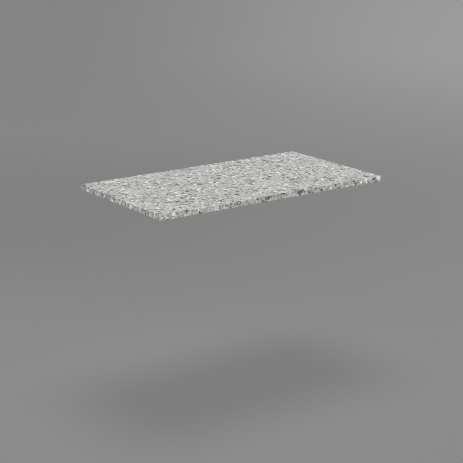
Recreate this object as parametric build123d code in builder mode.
"""Granite slab for a leatherworking bench.

A thin polished granite slab that leather is stamped, skived, punched and glued on. Thin stone cracks
under a mallet if it bridges a gap, so it isn't stood on feet: a glass-fibre scrim set in resin
reinforces its sawn back, and a ribbed rubber mat glued over nearly the whole back carries it.

Frame: millimetres, +Z up. The origin is the centre of the footprint, in the plane the slab rests on.
+X runs along the slab's length and +Y along its width.

Layers, from the bench up: rubber_mat, adhesive_film, mesh_backing, granite_slab.
"""

from build123d import *
import os

# ---- driving dimensions, mm ----
SLAB_LENGTH = 610.0
SLAB_WIDTH = 330.0
SLAB_THICKNESS = 12.5
SLAB_CORNER_RADIUS = 1.5  # the four upright corners
TOP_ARRIS = 1.0           # rounded all round the working face
BACK_ARRIS = 0.8          # flat bevel all round the sawn back

BACKING_THICKNESS = 0.6   # resin skin with the glass-fibre scrim bedded in it
ADHESIVE_THICKNESS = 0.15
ADHESIVE_SETBACK = 1.0    # the film stops this far inside the mat's edge

MAT_THICKNESS = 3.0
MAT_INSET = 15.0          # from the slab's edge, all round, so the mat stays out of sight from above
MAT_CORNER_RADIUS = 8.0
MAT_EDGE_BEVEL = 0.4      # round the mat's upper face
RIB_PITCH = 6.0
GROOVE_WIDTH = 2.0
GROOVE_DEPTH = 0.8
GROOVE_OVERRUN = 1.0      # the cutter passes each end of the mat by this much

# ---- derived sizes, and the heights of the layers above the bench ----
MAT_LENGTH = SLAB_LENGTH - 2 * MAT_INSET
MAT_WIDTH = SLAB_WIDTH - 2 * MAT_INSET
# Groove centres keep to the straight part of the mat's ends, between the corner arcs
GROOVE_COUNT = int((MAT_WIDTH - 2 * MAT_CORNER_RADIUS) // RIB_PITCH) + 1

MAT_TOP = MAT_THICKNESS
ADHESIVE_TOP = MAT_TOP + ADHESIVE_THICKNESS
BACKING_TOP = ADHESIVE_TOP + BACKING_THICKNESS

# ---- the stone: upright corners rounded first, then both faces' edges eased ----
with BuildPart() as granite_slab:
    with BuildSketch(Plane.XY.offset(BACKING_TOP)):
        RectangleRounded(SLAB_LENGTH, SLAB_WIDTH, SLAB_CORNER_RADIUS)
    extrude(amount=SLAB_THICKNESS)
    fillet(granite_slab.faces().sort_by(Axis.Z)[-1].edges(), radius=TOP_ARRIS)
    chamfer(granite_slab.faces().sort_by(Axis.Z)[0].edges(), length=BACK_ARRIS)

# ---- the reinforcement: scrim and resin, trimmed back to where the bevel on the stone starts ----
with BuildPart() as mesh_backing:
    with BuildSketch(Plane.XY.offset(ADHESIVE_TOP)):
        RectangleRounded(
            SLAB_LENGTH - 2 * BACK_ARRIS,
            SLAB_WIDTH - 2 * BACK_ARRIS,
            SLAB_CORNER_RADIUS - BACK_ARRIS,
        )
    extrude(amount=BACKING_THICKNESS)

# ---- the transfer adhesive that holds the mat to the reinforced back ----
with BuildPart() as adhesive_film:
    with BuildSketch(Plane.XY.offset(MAT_TOP)):
        RectangleRounded(
            MAT_LENGTH - 2 * ADHESIVE_SETBACK,
            MAT_WIDTH - 2 * ADHESIVE_SETBACK,
            MAT_CORNER_RADIUS - ADHESIVE_SETBACK,
        )
    extrude(amount=ADHESIVE_THICKNESS)

# ---- the mat: sheet rubber, grooved lengthwise underneath, a wider rib along each long side ----
with BuildPart() as rubber_mat:
    with BuildSketch(Plane.XY):
        RectangleRounded(MAT_LENGTH, MAT_WIDTH, MAT_CORNER_RADIUS)
    extrude(amount=MAT_THICKNESS)
    chamfer(rubber_mat.faces().sort_by(Axis.Z)[-1].edges(), length=MAT_EDGE_BEVEL)
    with BuildSketch(Plane.XY):
        with GridLocations(0, RIB_PITCH, 1, GROOVE_COUNT):
            Rectangle(MAT_LENGTH + 2 * GROOVE_OVERRUN, GROOVE_WIDTH)
    extrude(amount=GROOVE_DEPTH, mode=Mode.SUBTRACT)

# ---- one STEP file for each piece ----
PIECES = {
    "granite_slab": granite_slab,
    "mesh_backing": mesh_backing,
    "adhesive_film": adhesive_film,
    "rubber_mat": rubber_mat,
}

os.makedirs("parts", exist_ok=True)
for name, piece in PIECES.items():
    piece.part.label = name
    export_step(piece.part, f"parts/{name}.step")
